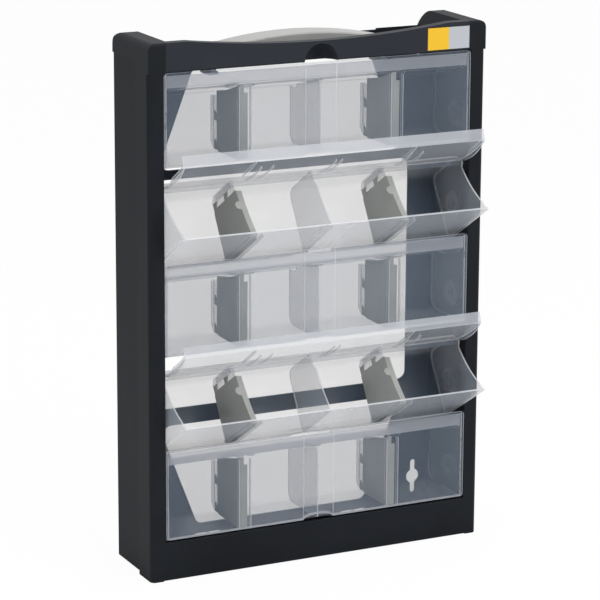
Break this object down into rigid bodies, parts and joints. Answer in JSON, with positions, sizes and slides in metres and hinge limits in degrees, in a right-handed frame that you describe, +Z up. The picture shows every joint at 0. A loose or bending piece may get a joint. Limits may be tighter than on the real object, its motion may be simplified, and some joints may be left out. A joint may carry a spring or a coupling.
{
  "type": "parts bin cabinet",
  "caption": "Tall narrow parts cabinet with rows of clear bins that tilt forward, each with a flap lid and removable dividers, and a lifting carry handle.",
  "frame": {"origin": "middle of the footprint of the housing, on the surface that it stands on", "axes": "+X to the cabinet's right as seen from the front, -Y out of the front, +Z up"},
  "size_m": [0.4094, 0.1468, 0.6005],
  "materials": {
    "housing_plastic": "fine textured anthracite",
    "clear_plastic": "clear, slightly cloudy",
    "divider_plastic": "light grey, satin",
    "handle_plastic": "grey, satin",
    "bearing_plastic": "dark grey",
    "screw_steel": "zinc plated",
    "label_film": "coated"
  },
  "bodies": {
    "cabinet": {"sill": "housing_plastic", "top_rail": "housing_plastic", "base_panel": "housing_plastic", "back_panel": "housing_plastic", "top_tray": "housing_plastic", "label_plate": "label_film", "frame_stile_right": "housing_plastic", "frame_stile_left": "housing_plastic", "side_shell_right": "housing_plastic", "side_shell_left": "housing_plastic", "corner_cap_right": "housing_plastic", "corner_cap_left": "housing_plastic", "pivot_bearings_right": "bearing_plastic", "pivot_bearings_left": "bearing_plastic", "frame_screws_right": "screw_steel", "frame_screws_left": "screw_steel"},
    "carry_handle": {"carry_handle": "handle_plastic"},
    "bin_1": {"bin_1": "clear_plastic", "divider_1_left": "divider_plastic", "divider_1_right": "divider_plastic"},
    "lid_1": {"lid_1": "clear_plastic"},
    "bin_2": {"bin_2": "clear_plastic", "divider_2_left": "divider_plastic", "divider_2_right": "divider_plastic"},
    "lid_2": {"lid_2": "clear_plastic"},
    "bin_3": {"bin_3": "clear_plastic", "divider_3_left": "divider_plastic", "divider_3_right": "divider_plastic"},
    "lid_3": {"lid_3": "clear_plastic"},
    "bin_4": {"bin_4": "clear_plastic", "divider_4_left": "divider_plastic", "divider_4_right": "divider_plastic"},
    "lid_4": {"lid_4": "clear_plastic"},
    "bin_5": {"bin_5": "clear_plastic", "divider_5_left": "divider_plastic", "divider_5_right": "divider_plastic"},
    "lid_5": {"lid_5": "clear_plastic"}
  },
  "joints": [
    {"name": "bin_1_tilt", "type": "hinge", "parent": "cabinet", "child": "bin_1", "pos_m": [0, -0.0145, 0.491], "axis": [1, 0, 0], "range_deg": [0, 58.5]},
    {"name": "lid_1_flap", "type": "hinge", "parent": "bin_1", "child": "lid_1", "pos_m": [0, 0.019, 0.5335], "axis": [1, 0, 0], "range_deg": [-75.5, 0]},
    {"name": "bin_2_tilt", "type": "hinge", "parent": "cabinet", "child": "bin_2", "pos_m": [0, -0.0145, 0.3863], "axis": [1, 0, 0], "range_deg": [-58.5, 0]},
    {"name": "lid_2_flap", "type": "hinge", "parent": "bin_2", "child": "lid_2", "pos_m": [0, -0.03323, 0.43707], "axis": [1, 0, 0], "range_deg": [0, 75.5]},
    {"name": "bin_3_tilt", "type": "hinge", "parent": "cabinet", "child": "bin_3", "pos_m": [0, -0.0145, 0.2816], "axis": [1, 0, 0], "range_deg": [0, 58.5]},
    {"name": "lid_3_flap", "type": "hinge", "parent": "bin_3", "child": "lid_3", "pos_m": [0, 0.019, 0.3241], "axis": [1, 0, 0], "range_deg": [-75.5, 0]},
    {"name": "bin_4_tilt", "type": "hinge", "parent": "cabinet", "child": "bin_4", "pos_m": [0, -0.0145, 0.1769], "axis": [1, 0, 0], "range_deg": [-58.5, 0]},
    {"name": "lid_4_flap", "type": "hinge", "parent": "bin_4", "child": "lid_4", "pos_m": [0, -0.03323, 0.22767], "axis": [1, 0, 0], "range_deg": [0, 75.5]},
    {"name": "bin_5_tilt", "type": "hinge", "parent": "cabinet", "child": "bin_5", "pos_m": [0, -0.0145, 0.0722], "axis": [1, 0, 0], "range_deg": [0, 58.5]},
    {"name": "lid_5_flap", "type": "hinge", "parent": "bin_5", "child": "lid_5", "pos_m": [0, 0.019, 0.1147], "axis": [1, 0, 0], "range_deg": [-75.5, 0]},
    {"name": "handle_lift", "type": "slide", "parent": "cabinet", "child": "carry_handle", "axis": [0, 0, 1], "range_m": [0, 0.012]}
  ],
  "couplings": [
    {"joint": "lid_1_flap", "follows": "bin_1_tilt", "ratio": -1.2889},
    {"joint": "lid_2_flap", "follows": "bin_2_tilt", "ratio": -1.2889},
    {"joint": "lid_3_flap", "follows": "bin_3_tilt", "ratio": -1.2889},
    {"joint": "lid_4_flap", "follows": "bin_4_tilt", "ratio": -1.2889},
    {"joint": "lid_5_flap", "follows": "bin_5_tilt", "ratio": -1.2889}
  ]
}
